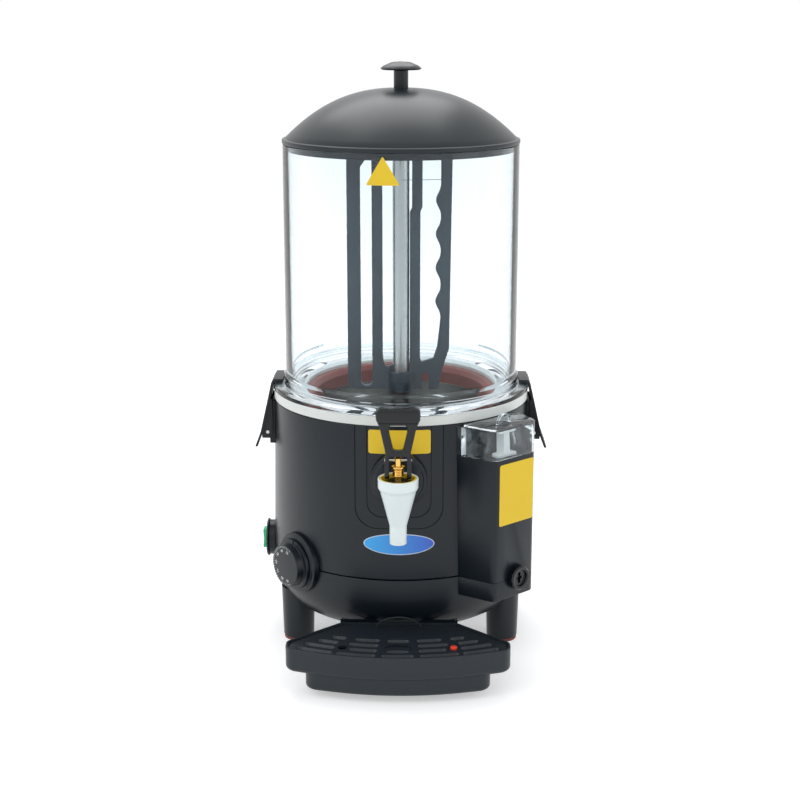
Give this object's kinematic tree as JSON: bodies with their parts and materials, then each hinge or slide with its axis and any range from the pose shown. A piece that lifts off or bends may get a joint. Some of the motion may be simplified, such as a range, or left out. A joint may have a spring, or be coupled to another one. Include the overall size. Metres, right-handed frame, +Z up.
{
  "type": "hot chocolate dispenser",
  "caption": "Countertop hot drink dispenser: clear bowl over a heated pan, motor agitator, domed lid, lever tap over a drip tray and a side water filler.",
  "frame": {"origin": "centre of the whole machine's footprint at the undersides of its feet", "axes": "+Z up along the bowl's axis, -Y towards the tap and drip tray, +X to the right as the machine is faced from its tap side"},
  "size_m": [0.2972, 0.3576, 0.5789],
  "materials": {
    "satin_black_plastic": "fine satin texture",
    "stainless_steel": "brushed",
    "brass": "machined",
    "valve_rubber": "matt",
    "foot_rubber": "matt",
    "gasket_silicone": "moulded silicone",
    "white_plastic": "smooth",
    "clear_plastic": "clear polycarbonate, polished",
    "agitator_plastic": "moulded",
    "yellow_plastic": "smooth",
    "green_plastic": "smooth",
    "red_plastic": "smooth"
  },
  "bodies": {
    "machine": {"upper_housing": "satin_black_plastic", "lower_housing": "satin_black_plastic", "bottom_plate": "stainless_steel", "base_screw_1": "stainless_steel", "base_screw_2": "stainless_steel", "foot_pad_1": "foot_rubber", "foot_pad_2": "foot_rubber", "foot_pad_3": "foot_rubber", "foot_pad_4": "foot_rubber", "rim_ring": "white_plastic", "bowl_gasket": "gasket_silicone", "bowl": "clear_plastic", "heating_pan": "stainless_steel", "water_tank": "stainless_steel", "centre_tube": "stainless_steel", "heating_element": "stainless_steel", "thermostat_probe": "brass", "gear_motor": "satin_black_plastic", "motor_bracket": "stainless_steel", "latch_bracket_left": "satin_black_plastic", "latch_bracket_right": "satin_black_plastic", "latch_pin_left": "stainless_steel", "latch_pin_right": "stainless_steel", "outlet_pipe": "stainless_steel", "tap_boss": "satin_black_plastic", "spout": "white_plastic", "tap_bonnet": "satin_black_plastic", "bonnet_band": "yellow_plastic", "dial_base": "satin_black_plastic", "regulator": "stainless_steel", "switch_collar": "satin_black_plastic", "switch_boot": "clear_plastic", "tap_spring": "stainless_steel", "fill_box": "satin_black_plastic", "fill_box_base": "satin_black_plastic", "fill_chamber": "clear_plastic", "water_pipe": "stainless_steel", "cable_gland": "satin_black_plastic", "tray_rail": "stainless_steel"},
    "lid": {"lid": "satin_black_plastic", "lid_knob": "satin_black_plastic", "knob_screw": "stainless_steel"},
    "stirrer": {"drive_shaft": "stainless_steel", "drive_cap": "agitator_plastic", "agitator": "agitator_plastic"},
    "latch_left": {"latch_left": "satin_black_plastic"},
    "latch_right": {"latch_right": "satin_black_plastic"},
    "valve": {"valve_stem": "brass", "valve_plunger": "valve_rubber", "handle_pin": "stainless_steel"},
    "tap_lever": {"tap_handle": "satin_black_plastic"},
    "dial": {"dial": "satin_black_plastic", "dial_shaft": "stainless_steel"},
    "rocker": {"rocker": "green_plastic"},
    "fill_lid": {"fill_lid": "clear_plastic"},
    "water_float": {"water_float": "white_plastic"},
    "drain_cap": {"drain_cap": "satin_black_plastic"},
    "tray": {"drip_tray": "satin_black_plastic"},
    "grid": {"tray_grid": "satin_black_plastic"},
    "tray_float": {"tray_float": "red_plastic"}
  },
  "joints": [
    {"name": "lid_lift", "type": "slide", "parent": "machine", "child": "lid", "axis": [0, 0, 1], "range_m": [0, 0.07]},
    {"name": "agitator_spin", "type": "hinge", "parent": "machine", "child": "stirrer", "pos_m": [0, 0.035, 0.3], "axis": [0, 0, 1], "continuous": true},
    {"name": "latch_left_swing", "type": "hinge", "parent": "machine", "child": "latch_left", "pos_m": [-0.1354, 0.035, 0.2105], "axis": [0, -1, 0], "range_deg": [0, 30]},
    {"name": "latch_right_swing", "type": "hinge", "parent": "machine", "child": "latch_right", "pos_m": [0.1354, 0.035, 0.2105], "axis": [0, 1, 0], "range_deg": [0, 30]},
    {"name": "valve_lift", "type": "slide", "parent": "machine", "child": "valve", "axis": [0, 0, 1], "range_m": [0, 0.005], "stiffness_N_per_m": 60, "springref_m": -0.004, "deforming": ["tap_spring"]},
    {"name": "tap_pull", "type": "hinge", "parent": "valve", "child": "tap_lever", "pos_m": [0, -0.134, 0.2258], "axis": [1, 0, 0], "range_deg": [0, 50]},
    {"name": "dial_turn", "type": "hinge", "parent": "machine", "child": "dial", "pos_m": [-0.10725, -0.05499, 0.094], "axis": [-0.766, -0.6428, 0], "range_deg": [0, 270]},
    {"name": "rocker_tilt", "type": "hinge", "parent": "machine", "child": "rocker", "pos_m": [-0.133, 0.035, 0.091], "axis": [0, 1, 0], "range_deg": [-6, 6]},
    {"name": "fill_lid_open", "type": "hinge", "parent": "machine", "child": "fill_lid", "pos_m": [0.08823, -0.06129, 0.2443], "axis": [-0.7373, -0.6756, 0], "range_deg": [0, 60]},
    {"name": "float_rise", "type": "slide", "parent": "machine", "child": "water_float", "axis": [0, 0, 1], "range_m": [0, 0.0055]},
    {"name": "drain_cap_turn", "type": "hinge", "parent": "machine", "child": "drain_cap", "pos_m": [0.11442, -0.08395, 0.093], "axis": [0.6756, -0.7373, 0], "range_deg": [0, 90]},
    {"name": "tray_slide", "type": "slide", "parent": "machine", "child": "tray", "axis": [0, -1, 0], "range_m": [0, 0.08]},
    {"name": "grid_lift", "type": "slide", "parent": "tray", "child": "grid", "axis": [0, 0, 1], "range_m": [0, 0.011]},
    {"name": "tray_float_rise", "type": "slide", "parent": "tray", "child": "tray_float", "axis": [0, 0, 1], "range_m": [0, 0.004]}
  ],
  "couplings": [
    {"joint": "tap_pull", "follows": "valve_lift", "rad_per_m": 174.53}
  ]
}
